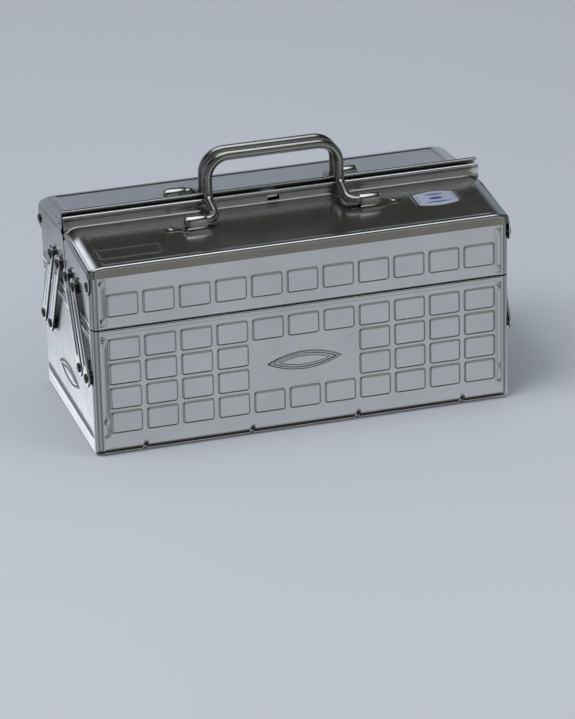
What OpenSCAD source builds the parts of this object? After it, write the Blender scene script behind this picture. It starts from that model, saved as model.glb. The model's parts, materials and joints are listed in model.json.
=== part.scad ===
// Two-stage cantilever box in pressed steel sheet: a body, two trays that swing
// out on parallel arms, a lid on each tray and a folding rod handle on each lid.
// The origin is at the middle of the underside. X runs along the box, Y from
// front to back and Z up. The front half is modelled and mirrored to the back.

/* [Body] */
// Length between the outer faces of the end walls
box_l = 350; // [330:1:370]
// Depth over the plain front and back walls
box_d = 167; // [163:1:171]
// Height of the body's rim
rim_z = 109.2; // [106:0.2:112]
// Thickness of the steel sheet
sheet = 0.8; // [0.6:0.1:1]
// Radius of the upright corners
corner_r = 7; // [6:0.5:8]
// Radius of the front and back bottom edges
edge_r = 8; // [6:0.5:10]

/* [Pressed panels] */
// Distance between neighbouring cells along the box
cell_pitch_x = 29.8; // [28:0.1:30]
// Distance between neighbouring cells up the body
cell_pitch_z = 21.2; // [20.5:0.1:21.6]
// Width of one raised cell
cell_w = 25.9; // [22:0.1:26.5]
// Height of one raised cell on the body
cell_h = 18.5; // [16:0.1:19]
// Height of one raised cell on the trays
tray_cell_h = 19.4; // [16:0.1:22]
// How far the cells stand out of the sheet
cell_rise = 0.6; // [0.4:0.1:0.8]
// Length of the blank lens-shaped badges
badge_w = 63; // [50:1:66]
// Height of the blank lens-shaped badges
badge_h = 16; // [12:1:17]

/* [Trays] */
// Top of the trays' long walls
tray_top_z = 160; // [157:0.5:160]
// Gap between the body's rim and the tray floors
tray_lift = 0.4; // [0.3:0.1:0.6]
// Number of dividers in each tray
dividers = 2; // [1:1:3]
// Height of the dividers above the tray floor
divider_h = 38; // [25:1:42]

/* [Arms] */
// Distance of the outer arms' lower pivots from the middle
arm_low_y = 71.5; // [70:0.5:73]
// Height of the lower pivots
arm_low_z = 65.5; // [63:0.5:68]
// Distance of the outer arms' upper pivots from the middle
arm_top_y = 37.5; // [36:0.5:39]
// Height of the upper pivots
arm_top_z = 131; // [129:0.5:132]
// Distance from an outer arm to the inner arm beside it
arm_pitch = 23; // [21:0.5:24]
// Width of an arm
arm_w = 15; // [13:0.5:16]
// Thickness of an arm
arm_t = 1.5; // [1.2:0.1:1.5]

/* [Lids] */
// Slope of the lids up to the middle ridge, in degrees
lid_slope = 3.9; // [3.5:0.1:4.2]
// Distance of the lid pivots from the middle
lid_pivot_y = 78; // [77.5:0.1:78.2]
// Height of the lid pivots
lid_pivot_z = 146.5; // [146:0.1:147]
// Lower edge of the lids' outer lips
lip_z = 155; // [154.5:0.1:156]

/* [Handles] */
// Radius of the handle rod
rod_r = 4; // [3.5:0.1:4]
// Distance of the handle legs from the middle
leg_x = 55.5; // [50:0.5:58]
// Height of the middle of the grip
grip_z = 214; // [208:1:220]
// Radius of the bends beside the grip
bend_r = 18; // [14:1:20]
// Distance of the handle pivots from the middle
tail_y = 32; // [31:0.5:33]
// Height of the handle pivots
tail_z = 171; // [170.9:0.1:171.4]

/* [Hidden] */
$fn = 48;

far = 400;
fit = 0.05;
gap = 0.3;

half_l = box_l / 2;
half_d = box_d / 2;
end_wrap = 6.8;
wrap_l = box_l - 2 * end_wrap;
lap = 10;
joggle = 1.2;
inlay = 0.3;

// Columns of cells on each side of the middle one
side_columns = 5;
rows = 4;
cell_low_z = 19.6;
tray_cell_z = 120.6;
cell_r = 2.6;
badge_z = 60.6;
end_badge_z = 39;
badge_rim = 2.6;

bead_xs = [-4.5, -1.5, 1.5, 4.5];
bead_r = 5;
bead_drop = 3;

tray_z = rim_z + tray_lift;
tray_mid_y = 0.6;
tray_edge_r = 2;
// Top edge of a tray's end: it rises under the lid to a peak, then falls to the middle
shoulder_y = 64;
shoulder_rise = 1.5;
peak_y = 12;
peak_rise = 6;

washer_r = 5.5;
washer_t = 1.5;
arm_x = half_l + washer_t + gap;
rivet_r = 2.5;
head_r = 4;
head_t = 1.3;
rivet_back = 0.8;
rib_w = 5.5;
rib_rise = 0.7;
rib_end = 12;
arm_len = norm([arm_low_y - arm_top_y, arm_top_z - arm_low_z]);
arm_lean = atan2(arm_low_y - arm_top_y, arm_top_z - arm_low_z);

lid_half_l = half_l + gap + sheet;
lid_pin_r = 2;
lid_back_r = 2.8;
lid_back_reach = 2.8;
lip_y = 85.3;
lid_r = 2.2;
// The ear below the lip: its front, its low back corner, and where its slope meets the panel
ear_front_y = 83;
ear_low_y = 74;
ear_low_z = 139;
ear_back_y = 10;
ear_back_z = 163.5;
lip_back_y = ear_low_y - (lip_z - ear_low_z) * (ear_low_y - ear_back_y) / (ear_back_z - ear_low_z);
lid_edge_z = 161;
lid_corner_r = 7;
fold_r = 1.2;
front_ridge_y = 5.2;
front_ridge_z = 177.5;
rear_ridge_y = 2;
rear_ridge_z = 181;
hem_r = 1.7;
hem_reach = 2;
hem_t = 0.8;
hasp_w = 10;
hasp_low_z = 169.8;
hasp_h = 5.2;

grip_y = 6.5;
elbow_slope = 19.4;
elbow_r = 10;
tail_r = 8;
bend_skin = 0.02;
bend_overlap = 0.3;
strap_x = 64.5;
strap_l = 16.5;
strap_t = 1.3;
foot_w = 20;
foot_t = 1;
pad_l = 20;
pad_w = 16;
pad_rivet_x = 93.7;
pad_rivet_r = 2.2;
label_at = [129, 38.5];
label_w = 36;
label_h = 28;
frame_at = [136.5, 61];
frame_w = 53;
frame_d = 18.5;
frame_band = 1.6;
frame_rise = 0.4;

steel_grey = [0.66, 0.68, 0.70];
lid_grey = [0.42, 0.42, 0.38];
bright_steel = [0.80, 0.81, 0.83];
dark_steel = [0.30, 0.30, 0.28];
label_silver = [0.70, 0.74, 0.82];

// Height of a front lid's outer surface above the point y on the front half
function lid_z(y) = lid_edge_z + lid_r / cos(lid_slope) + (y + lip_y - lid_r) * tan(lid_slope);

// Points of an arc round c
function arc(c, r, from, to, steps = 8) =
    [for (i = [0:steps]) c + r * [cos(from + (to - from) * i / steps), sin(from + (to - from) * i / steps)]];

// Extrudes a Y-Z section along X, centred on the middle
module along_x(length) rotate([90, 0, 90]) linear_extrude(length, center = true) children();

// Keeps the part of its children between two X positions
module between_x(from, to) {
    intersection() {
        children();
        translate([from, -far / 2, -far / 2]) cube([to - from, far, far]);
    }
}

module both_ends() {
    children();
    mirror([1, 0, 0]) children();
}

module round_rect(w, h, r) {
    square([w - 2 * r, h], center = true);
    square([w, h - 2 * r], center = true);
    for (sx = [-1, 1], sy = [-1, 1]) translate([sx * (w / 2 - r), sy * (h / 2 - r)]) circle(r);
}

module lens(w, h) {
    r = (w * w / 4 + h * h / 4) / h;
    intersection() {
        translate([0, r - h / 2]) circle(r, $fn = 96);
        translate([0, h / 2 - r]) circle(r, $fn = 96);
    }
}

module badge() {
    linear_extrude(cell_rise) difference() {
        lens(badge_w, badge_h);
        lens(badge_w - 4 * badge_rim, badge_h - 2 * badge_rim);
    }
    linear_extrude(cell_rise / 2) lens(badge_w - 6 * badge_rim, badge_h - 3 * badge_rim);
}

// ---- Body ----

// Section of the body at a distance inset inside its outer surface
module body_section(inset, top) {
    flat = half_d - edge_r;
    translate([inset - half_d, edge_r]) square([box_d - 2 * inset, top - edge_r]);
    translate([-flat, inset]) square([2 * flat, edge_r - inset]);
    for (side = [-1, 1]) translate([side * flat, edge_r]) circle(edge_r - inset);
}

module body_sheet_section(outer, inner) {
    difference() {
        body_section(outer, rim_z);
        body_section(inner, rim_z + 1);
    }
}

module body_form(inset, top) {
    intersection() {
        along_x(box_l) body_section(inset, top);
        linear_extrude(top) round_rect(box_l - 2 * inset, box_d - 2 * inset, corner_r - inset);
    }
}

// A cell is left out where the badge sits
function is_cell(column, row) = row == 0 || row == rows - 1 || abs(column) > 1;

module body_cells() {
    for (row = [0:rows - 1], column = [-side_columns:side_columns])
        if (is_cell(column, row))
            translate([column * cell_pitch_x, cell_low_z + cell_h / 2 + row * cell_pitch_z])
                round_rect(cell_w, cell_h, cell_r);
}

module body_front_relief() {
    translate([0, inlay - half_d, 0]) rotate([90, 0, 0]) {
        linear_extrude(inlay + cell_rise) body_cells();
        translate([0, badge_z, inlay]) badge();
        linear_extrude(inlay) translate([0, badge_z]) square([badge_w / 2, badge_h / 4], center = true);
    }
}

module bead(r, top) {
    intersection() {
        translate([0, 0, -bead_drop]) rotate([90, 0, 0]) cylinder(h = box_d, r = r, center = true);
        translate([-r, -half_d, 0]) cube([2 * r, box_d, top]);
    }
}

module body_wrap() {
    color(steel_grey) difference() {
        union() {
            along_x(wrap_l) body_sheet_section(0, sheet);
            body_front_relief();
            mirror([0, 1, 0]) body_front_relief();
            intersection() {
                for (k = bead_xs) translate([k * cell_pitch_x, 0, 0]) bead(bead_r + sheet, edge_r);
                along_x(wrap_l) body_section(sheet / 2, rim_z);
            }
        }
        for (k = bead_xs) translate([k * cell_pitch_x, 0, 0]) bead(bead_r, edge_r);
    }
}

module rivet_holes(ys, z, r) {
    for (y = ys) translate([0, y, z]) rotate([0, 90, 0]) cylinder(h = far, r = r);
}

function body_pivot_ys() = [for (side = [-1, 1], k = [0, 1]) side * (arm_low_y - k * arm_pitch)];

module body_end() {
    color(steel_grey) difference() {
        union() {
            between_x(half_l - end_wrap, far) difference() {
                body_form(0, rim_z);
                body_form(sheet, rim_z + 1);
            }
            translate([half_l - end_wrap - lap / 2, 0, 0]) along_x(lap) body_sheet_section(sheet, 2 * sheet);
            translate([half_l - end_wrap + joggle / 2, 0, 0]) along_x(joggle) body_sheet_section(inlay, 2 * sheet);
            translate([half_l, 0, end_badge_z]) rotate([90, 0, 90]) badge();
        }
        rivet_holes(body_pivot_ys(), arm_low_z, rivet_r);
    }
}

// Rivet along +X: back head, shank through the sheet and domed outer head.
// reach is the depth from the wall's outer face to the back head.
module rivet(r, shank_top, back_r = head_r, reach = sheet) {
    rotate([0, 90, 0]) {
        translate([0, 0, -reach - rivet_back]) cylinder(h = rivet_back, r = back_r);
        translate([0, 0, -reach]) cylinder(h = reach + shank_top, r = r);
        translate([0, 0, shank_top]) cylinder(h = head_t / 2, r = head_r);
        translate([0, 0, shank_top + head_t / 2]) cylinder(h = head_t / 2, r1 = head_r, r2 = head_r * 0.7);
    }
}

module washer() {
    rotate([0, 90, 0]) difference() {
        cylinder(h = washer_t, r = washer_r);
        translate([0, 0, -1]) cylinder(h = washer_t + 2, r = rivet_r);
    }
}

module body_rivets() {
    color(dark_steel) for (y = body_pivot_ys())
        translate([half_l, y, arm_low_z]) rivet(rivet_r, washer_t + arm_t + 2 * gap);
}

module body_washers() {
    color(dark_steel) for (y = body_pivot_ys()) translate([half_l, y, arm_low_z]) washer();
}

// ---- Arms ----

// Arm on the right end, from its lower pivot up to the tray, leaning to +Y
module arm(low_y) {
    color(bright_steel) translate([arm_x, low_y, arm_low_z]) rotate([-arm_lean, 0, 0]) rotate([90, 0, 90]) {
        difference() {
            linear_extrude(arm_t) {
                translate([-arm_w / 2, 0]) square([arm_w, arm_len]);
                for (z = [0, arm_len]) translate([0, z]) circle(arm_w / 2);
            }
            for (z = [0, arm_len]) translate([0, z, -1]) cylinder(h = arm_t + 2, r = rivet_r + fit);
        }
        translate([0, 0, arm_t]) linear_extrude(rib_rise) {
            translate([-rib_w / 2, rib_end]) square([rib_w, arm_len - 2 * rib_end]);
            for (z = [rib_end, arm_len - rib_end]) translate([0, z]) circle(rib_w / 2);
        }
    }
}

module outer_arm() arm(-arm_low_y);
module inner_arm() arm(arm_pitch - arm_low_y);

// ---- Trays ----

module tray_section(inset, top) {
    r = tray_edge_r - inset;
    y0 = inset - half_d;
    y1 = -tray_mid_y - inset;
    translate([y0, tray_z + tray_edge_r]) square([y1 - y0, top - tray_z - tray_edge_r]);
    translate([y0 + r, tray_z + inset]) square([y1 - y0 - 2 * r, tray_edge_r - inset]);
    for (y = [y0 + r, y1 - r]) translate([y, tray_z + tray_edge_r]) circle(r);
}

module tray_form(inset, top) {
    intersection() {
        along_x(box_l) tray_section(inset, top);
        linear_extrude(top) round_rect(box_l - 2 * inset, box_d - 2 * inset, corner_r - inset);
    }
}

module tray_wrap() {
    color(steel_grey) {
        along_x(wrap_l) difference() {
            tray_section(0, tray_top_z);
            tray_section(sheet, tray_top_z + 1);
        }
        translate([0, inlay - half_d, 0]) rotate([90, 0, 0]) linear_extrude(inlay + cell_rise)
            for (column = [-side_columns:side_columns]) translate([column * cell_pitch_x, tray_cell_z + tray_cell_h / 2])
                round_rect(cell_w, tray_cell_h, cell_r);
    }
}

function tray_pivot_ys() = [-arm_top_y, arm_pitch - arm_top_y];

// The end wall rises under the sloping lid and is cut back beside the ridge
module tray_end_outline() {
    polygon([
        [-half_d, tray_z - 1], [-half_d, tray_top_z], [-shoulder_y, tray_top_z + shoulder_rise],
        [-peak_y, tray_top_z + peak_rise], [0, tray_top_z - peak_rise], [0, tray_z - 1]
    ]);
}

module tray_end() {
    color(steel_grey) difference() {
        union() {
            intersection() {
                between_x(half_l - end_wrap, far) difference() {
                    tray_form(0, tray_top_z + 10);
                    tray_form(sheet, tray_top_z + 11);
                }
                along_x(far) tray_end_outline();
            }
            translate([half_l - end_wrap - lap / 2, 0, 0]) along_x(lap) difference() {
                tray_section(sheet, tray_top_z - 1);
                tray_section(2 * sheet, tray_top_z);
            }
            translate([half_l - end_wrap + joggle / 2, 0, 0]) along_x(joggle) difference() {
                tray_section(inlay, tray_top_z - 1);
                tray_section(2 * sheet, tray_top_z);
            }
        }
        rivet_holes(tray_pivot_ys(), arm_top_z, rivet_r);
        rivet_holes([-lid_pivot_y], lid_pivot_z, lid_pin_r);
    }
}

// A divider is a plate with a tab folded along each wall
module tray_dividers() {
    floor_z = tray_z + sheet;
    y0 = sheet - half_d;
    y1 = -tray_mid_y - sheet;
    tab = 9;
    spacing = wrap_l / (dividers + 1);
    color(steel_grey) for (k = [1:dividers]) translate([k * spacing - wrap_l / 2, 0, floor_z]) {
        translate([0, y0, tray_edge_r]) cube([sheet, y1 - y0, divider_h - tray_edge_r]);
        for (y = [y0, y1 - sheet]) translate([0, y, tray_edge_r]) cube([tab, sheet, divider_h - tray_edge_r]);
    }
}

module tray_rivets() {
    color(dark_steel) both_ends() for (y = tray_pivot_ys())
        translate([half_l, y, arm_top_z]) rivet(rivet_r, washer_t + arm_t + 2 * gap);
}

module tray_washers() {
    color(dark_steel) both_ends() for (y = tray_pivot_ys()) translate([half_l, y, arm_top_z]) washer();
}

module lid_pivots() {
    color(dark_steel) both_ends() translate([half_l, -lid_pivot_y, lid_pivot_z])
        rivet(lid_pin_r, sheet + 2 * gap, lid_back_r, lid_back_reach);
}

// ---- Lids ----

// Centre of the fold at the foot of a ridge strip: a radius above the panel, measured square to it
function ridge_fold(ridge_y) =
    [-ridge_y - fold_r, lid_z(-ridge_y - fold_r) + fold_r / cos(lid_slope)];

// One folded sheet: outer lip, sloping panel and the fold that turns up into the ridge strip
module lid_section(ridge_y) {
    edge = [lid_r - lip_y, lid_edge_z];
    fold = ridge_fold(ridge_y);
    polygon(concat(
        [[-lip_y, lip_z]],
        arc(edge, lid_r, 180, 90 + lid_slope),
        arc(fold, fold_r, lid_slope - 90, 0),
        arc(fold, fold_r + sheet, 0, lid_slope - 90),
        arc(edge, lid_r - sheet, 90 + lid_slope, 180),
        [[sheet - lip_y, lip_z]]
    ));
}

// Side view of the lip that wraps the lid's corners, down to lip_z
module lip_outline() {
    side_y = lid_corner_r - lip_y;
    polygon([
        [-lip_y - 1, lip_z], [-lip_y - 1, lid_edge_z], [side_y, lid_edge_z],
        [side_y, lid_z(side_y) - sheet / 2], [-ear_back_y, lid_z(-ear_back_y) - sheet / 2],
        [-ear_back_y, ear_back_z], [-lip_back_y, lip_z]
    ]);
}

// Side view of the flat ear below the lip, which carries the lid's pivot
module ear_outline() {
    polygon([
        [-ear_front_y, lid_pivot_z], [1 - ear_front_y, lip_z + sheet],
        [-lip_back_y, lip_z + sheet], [-lip_back_y, lip_z],
        [-ear_low_y, ear_low_z], [-lid_pivot_y, ear_low_z], [1.5 - ear_front_y, ear_low_z + 1.5]
    ]);
}

module lid_plan(inset) {
    long = far / 2;
    translate([0, long / 2 - lip_y + inset / 2])
        round_rect(2 * (lid_half_l - inset), long - inset, lid_corner_r - inset);
}

module lid_body(ridge_y) {
    difference() {
        union() {
            intersection() {
                along_x(2 * lid_half_l) lid_section(ridge_y);
                linear_extrude(far) lid_plan(0);
            }
            intersection() {
                along_x(far) lip_outline();
                linear_extrude(far) difference() {
                    lid_plan(0);
                    lid_plan(sheet);
                }
            }
            both_ends() translate([lid_half_l - sheet, 0, 0])
                rotate([90, 0, 90]) linear_extrude(sheet) ear_outline();
        }
        both_ends() rivet_holes([-lid_pivot_y], lid_pivot_z, lid_pin_r + fit);
    }
}

// Upright strip along the inner edge of a lid, with the padlock hole; children shape its top
module ridge_strip(ridge_y, ridge_z) {
    foot_z = ridge_fold(ridge_y)[1];
    color(lid_grey) difference() {
        along_x(2 * lid_half_l) union() {
            translate([-ridge_y, foot_z]) square([sheet, ridge_z - foot_z]);
            children();
        }
        translate([-hasp_w / 2, -ridge_y - sheet, hasp_low_z]) cube([hasp_w, 3 * sheet, hasp_h]);
    }
}

// Places its children on the front lid's outer surface
module on_lid(x, y) {
    translate([x, -y, lid_z(-y)]) rotate([lid_slope, 0, 0]) children();
}

module front_lid() {
    color(lid_grey) {
        lid_body(front_ridge_y);
        on_lid(-frame_at[0], frame_at[1]) translate([0, 0, -inlay]) linear_extrude(inlay + frame_rise) difference() {
            round_rect(frame_w, frame_d, 2);
            round_rect(frame_w - 2 * frame_band, frame_d - 2 * frame_band, 1);
        }
    }
}

module front_ridge_strip() {
    ridge_strip(front_ridge_y, front_ridge_z)
        translate([hem_r - front_ridge_y - sheet, front_ridge_z - hem_r / 2]) difference() {
            circle(hem_r);
            circle(hem_r - sheet);
        }
}

module rear_lid() {
    color(lid_grey) mirror([0, 1, 0]) lid_body(rear_ridge_y);
}

module rear_ridge_strip() {
    mirror([0, 1, 0]) ridge_strip(rear_ridge_y, rear_ridge_z)
        translate([-rear_ridge_y, rear_ridge_z - hem_t])
            square([rear_ridge_y + hem_reach, 2 * hem_t]);
}

// Bracket in the frame of the handle's tail: a strap over the rod, a foot on
// each side of it and a pad that reaches outward
module bracket() {
    floor_z = (lid_z(-tail_y) - tail_z) * cos(lid_slope);
    difference() {
        union() {
            translate([strap_x, 0, 0]) rotate([0, 90, 0]) cylinder(h = strap_l, r = rod_r + fit + strap_t);
            translate([strap_x, -foot_w / 2, floor_z]) cube([strap_l, foot_w, foot_t]);
            translate([strap_x + strap_l / 2, -pad_w / 2, floor_z])
                cube([strap_l / 2 + pad_l - pad_w / 2, pad_w, foot_t]);
            translate([strap_x + strap_l + pad_l - pad_w / 2, 0, floor_z]) cylinder(h = foot_t, r = pad_w / 2);
        }
        translate([strap_x - 1, 0, 0]) rotate([0, 90, 0]) cylinder(h = strap_l + 3, r = rod_r + fit);
        translate([strap_x - 1, -rod_r - fit, floor_z - far])
            cube([strap_l + 3, 2 * (rod_r + fit), far - floor_z]);
        translate([0, -far / 2, floor_z - far]) cube([far, far, far]);
        translate([pad_rivet_x, 0, floor_z - 1]) cylinder(h = foot_t + 2, r = pad_rivet_r);
    }
}

module lid_brackets() {
    color(bright_steel) both_ends() translate([0, -tail_y, tail_z]) rotate([lid_slope, 0, 0]) bracket();
}

module bracket_rivets() {
    color(dark_steel) both_ends() translate([0, -tail_y, tail_z]) rotate([lid_slope, 0, 0])
        translate([pad_rivet_x, 0, (lid_z(-tail_y) - tail_z) * cos(lid_slope)]) {
            cylinder(h = foot_t, r = pad_rivet_r);
            translate([0, 0, foot_t]) cylinder(h = head_t / 2, r1 = head_r * 0.8, r2 = head_r * 0.5);
        }
}

module front_label() {
    color(label_silver) on_lid(label_at[0], label_at[1]) linear_extrude(gap) intersection() {
        square([label_w, label_h], center = true);
        translate([0, label_w - label_h / 2 - 2]) circle(label_w, $fn = 96);
        translate([0, label_h / 2 + 2 - label_w]) circle(label_w, $fn = 96);
    }
}

// ---- Handles ----

// Straight stretch of rod along +Z, let into the bends at its ends
module rod(length) {
    translate([0, 0, -bend_overlap]) cylinder(h = length + 2 * bend_overlap, r = rod_r);
}

// Quarter or part turn of rod in the XY plane, a hair fuller than the straight rod
module rod_bend(r, turn) {
    rotate_extrude(angle = turn) translate([r, 0]) circle(rod_r + bend_skin);
}

// Rod bent from one piece: grip, two legs, two elbows and two outward tails
module handle() {
    turn = 90 - elbow_slope;
    elbow_top = tail_z + (tail_y - grip_y) * tan(elbow_slope) + elbow_r * tan(turn / 2);
    elbow_end = [-grip_y - elbow_r + elbow_r * cos(turn), elbow_top - elbow_r * sin(turn)];
    run = norm([elbow_end[0] + tail_y, elbow_end[1] - tail_z]) - tail_r;
    tail_start = leg_x + tail_r;
    grip_l = 2 * (leg_x - bend_r);
    color(dark_steel) {
        translate([-grip_l / 2, -grip_y, grip_z]) rotate([0, 90, 0]) rod(grip_l);
        both_ends() {
            translate([leg_x - bend_r, -grip_y, grip_z - bend_r]) rotate([90, 0, 0]) rod_bend(bend_r, 90);
            translate([leg_x, -grip_y, elbow_top]) rod(grip_z - bend_r - elbow_top);
            translate([leg_x, -grip_y - elbow_r, elbow_top]) rotate([-90, 0, 90]) rod_bend(elbow_r, turn);
            translate([leg_x, elbow_end[0], elbow_end[1]]) rotate([90 + elbow_slope, 0, 0]) rod(run);
            translate([tail_start, tail_r * cos(elbow_slope) - tail_y, tail_z + tail_r * sin(elbow_slope)])
                rotate([elbow_slope, 0, 0]) rotate([0, 0, 180]) rod_bend(tail_r, 90);
            translate([tail_start, -tail_y, tail_z]) rotate([0, 90, 0]) rod(strap_x + strap_l + 1 - tail_start);
        }
    }
}

module left() mirror([1, 0, 0]) children();
module rear() mirror([0, 1, 0]) children();

body_wrap();
left() body_end();  // body_end_left
body_end();  // body_end_right
left() body_rivets();  // body_rivets_left
body_rivets();  // body_rivets_right
left() body_washers();  // body_washers_left
body_washers();  // body_washers_right
left() outer_arm();  // front_outer_arm_left
outer_arm();  // front_outer_arm_right
left() inner_arm();  // front_inner_arm_left
inner_arm();  // front_inner_arm_right
left() rear() outer_arm();  // rear_outer_arm_left
rear() outer_arm();  // rear_outer_arm_right
left() rear() inner_arm();  // rear_inner_arm_left
rear() inner_arm();  // rear_inner_arm_right
tray_wrap();  // front_tray_wrap
left() tray_end();  // front_tray_end_left
tray_end();  // front_tray_end_right
tray_dividers();  // front_tray_dividers
tray_rivets();  // front_tray_rivets
tray_washers();  // front_tray_washers
lid_pivots();  // front_lid_pivots
rear() tray_wrap();  // rear_tray_wrap
left() rear() tray_end();  // rear_tray_end_left
rear() tray_end();  // rear_tray_end_right
rear() tray_dividers();  // rear_tray_dividers
rear() tray_rivets();  // rear_tray_rivets
rear() tray_washers();  // rear_tray_washers
rear() lid_pivots();  // rear_lid_pivots
front_lid();
front_ridge_strip();
lid_brackets();  // front_lid_brackets
bracket_rivets();  // front_bracket_rivets
front_label();
rear_lid();
rear_ridge_strip();
rear() lid_brackets();  // rear_lid_brackets
rear() bracket_rivets();  // rear_bracket_rivets
handle();  // front_handle
rear() handle();  // rear_handle
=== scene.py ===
"""Looks of the two-stage cantilever sewing box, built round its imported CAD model.

Lengths in this file are millimetres in the CAD model's frame (origin at the middle
of the underside, X along the box, Y to the back, Z up) and become metres in build().
Front pieces are made once and mirrored to the back.
"""
import json
import math

import bpy
import numpy as np
from mathutils import Matrix, Vector


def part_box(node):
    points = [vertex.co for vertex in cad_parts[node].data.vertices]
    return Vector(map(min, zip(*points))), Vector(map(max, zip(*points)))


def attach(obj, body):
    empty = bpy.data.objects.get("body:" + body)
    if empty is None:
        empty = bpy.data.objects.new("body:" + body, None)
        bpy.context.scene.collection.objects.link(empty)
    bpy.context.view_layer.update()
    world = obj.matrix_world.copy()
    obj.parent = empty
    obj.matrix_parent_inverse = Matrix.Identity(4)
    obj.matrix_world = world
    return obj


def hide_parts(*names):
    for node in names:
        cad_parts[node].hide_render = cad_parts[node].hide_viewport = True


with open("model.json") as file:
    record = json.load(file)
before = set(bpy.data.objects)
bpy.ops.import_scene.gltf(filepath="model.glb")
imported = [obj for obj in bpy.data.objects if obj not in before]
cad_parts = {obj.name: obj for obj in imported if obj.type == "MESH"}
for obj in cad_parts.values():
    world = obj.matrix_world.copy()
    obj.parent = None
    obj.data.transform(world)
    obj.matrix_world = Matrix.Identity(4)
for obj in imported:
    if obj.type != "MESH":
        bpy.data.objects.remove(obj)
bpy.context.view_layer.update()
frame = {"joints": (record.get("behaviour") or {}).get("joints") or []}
MM = 0.001


def node_box(node):
    """Lowest and highest corner of a CAD node, in millimetres."""
    low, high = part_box(node)
    return np.array(low) / MM, np.array(high) / MM


def joint_at(name):
    """Y and Z of a joint's axis, in millimetres."""
    joint = next(j for j in frame["joints"] if j["name"] == name)
    return np.array(joint["pos_m"][1:]) / MM


# ---- Driving dimensions, from the frame where the frame holds them ----

SHEET = 0.8
HALF_D = node_box("body_end_left")[1][1]
RIM_Z = node_box("body_end_left")[1][2]
SEAM_X = node_box("body_wrap")[1][0]
HALF_L = node_box("body_washers_right")[0][0]
TRAY_Z = node_box("front_tray_wrap")[0][2]
TRAY_TOP = node_box("front_tray_wrap")[1][2]
TRAY_MID = -node_box("front_tray_wrap")[1][1]
LID_HALF_L = node_box("front_lid")[1][0]
LIP_Y = -node_box("front_lid")[0][1]
LIP_Z = 155.0
ARM_LOW = joint_at("front_swing")
ARM_TOP = joint_at("front_level")
INNER_LOW = joint_at("front_inner_swing")
LID_PIVOT = joint_at("front_lid_hinge")
TAIL = joint_at("front_handle_fold")

CORNER_R = 7.0
LAP_IN = 1.7
SLOPE_W = 7.5
EDGE_R = 8.0
LID_SLOPE = math.tan(math.radians(3.9))
LID_EDGE_Z = 163.2

CELL_PITCH_X, CELL_PITCH_Z = 29.8, 21.2
CELL_W, CELL_H, TRAY_CELL_H = 27.2, 19.8, 20.7
CELL_LOW_Z, TRAY_CELL_Z = 18.95, 119.95
CELL_R, CELL_EDGE, CELL_RISE = 3.0, 2.1, 0.62
ROWS = 4
BADGE_W, BADGE_H, BADGE_Z, END_BADGE_Z = 63.0, 16.0, 60.6, 39.0


# ---- Mesh helpers ----

def build(name, verts, faces, material, body, nodes, slot, crease=38.0, mirrored=False):
    """Makes a mesh object in metres that rides on a body and stands for CAD nodes."""
    verts = np.array(verts, float) * MM
    if mirrored:
        verts = verts * [1, -1, 1]
        faces = [tuple(reversed(face)) for face in faces]
    mesh = bpy.data.meshes.new(name)
    mesh.from_pydata(verts.tolist(), [], faces)
    mesh.validate()
    mesh.materials.append(material)
    mesh.shade_smooth()
    mesh.set_sharp_from_angle(angle=math.radians(crease))
    obj = bpy.data.objects.new(name, mesh)
    bpy.context.scene.collection.objects.link(obj)
    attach(obj, body)
    if nodes:
        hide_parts(*nodes)
    return obj


def join(*parts):
    """Several (verts, faces) as one."""
    verts, faces, start = [], [], 0
    for part_verts, part_faces in parts:
        verts.append(np.asarray(part_verts, float))
        faces += [tuple(i + start for i in face) for face in part_faces]
        start += len(part_verts)
    return np.concatenate(verts), faces


def flipped(part):
    """A part mirrored left to right."""
    verts, faces = part
    return np.asarray(verts) * [-1, 1, 1], [tuple(reversed(face)) for face in faces]


def sheet(patches, thickness=SHEET):
    """A closed sheet of metal from patches of its outer surface.

    Each patch is (points, normals) or (points, normals, keep), with points and normals
    as rows x columns x 3 and keep as the cells to keep. Patches are welded where their
    points meet, and the sheet is given its thickness inward."""
    points = np.concatenate([p[0].reshape(-1, 3) for p in patches])
    normals = np.concatenate([p[1].reshape(-1, 3) for p in patches])
    _, first, weld = np.unique(np.round(points, 3), axis=0, return_index=True, return_inverse=True)
    weld = weld.reshape(-1)
    total = np.zeros((len(first), 3))
    np.add.at(total, weld, normals)
    total /= np.maximum(np.linalg.norm(total, axis=1, keepdims=True), 1e-9)
    outer = points[first]
    faces, start = [], 0
    for patch in patches:
        rows, columns = patch[0].shape[:2]
        index = weld[start:start + rows * columns].reshape(rows, columns)
        keep = patch[2] if len(patch) > 2 else np.ones((rows - 1, columns - 1), bool)
        for i, j in np.argwhere(keep):
            face = []
            for k in (index[i, j], index[i + 1, j], index[i + 1, j + 1], index[i, j + 1]):
                if k not in face:
                    face.append(int(k))
            if len(face) > 2:
                faces.append(tuple(face))
        start += rows * columns
    count = len(outer)
    edges = {}
    for face in faces:
        for a, b in zip(face, face[1:] + face[:1]):
            edges[(a, b)] = True
    walls = [(b, a, a + count, b + count) for a, b in edges if (b, a) not in edges]
    inside = [tuple(i + count for i in reversed(face)) for face in faces]
    verts = np.concatenate([outer, outer - total * thickness])
    return verts, faces + inside + walls


def stations(low, high, step, marks=()):
    """Sorted coordinates from low to high, no further apart than step, with each mark among them."""
    fixed = sorted({low, high, *(m for m in marks if low < m < high)})
    kept = [fixed[0]]
    for value in fixed[1:]:
        if value - kept[-1] > 0.12 or value == high:
            count = max(1, math.ceil((value - kept[-1]) / step))
            kept += list(np.linspace(kept[-1], value, count + 1)[1:])
    return np.array(kept)


def edge_marks(edge, inward):
    """Stations across a pressed edge: inward is +1 where the raised side lies at higher values."""
    return [edge + inward * d for d in (-0.4, 0.05, 0.5, 1.0, 1.5, 2.1, 2.9)]


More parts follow.
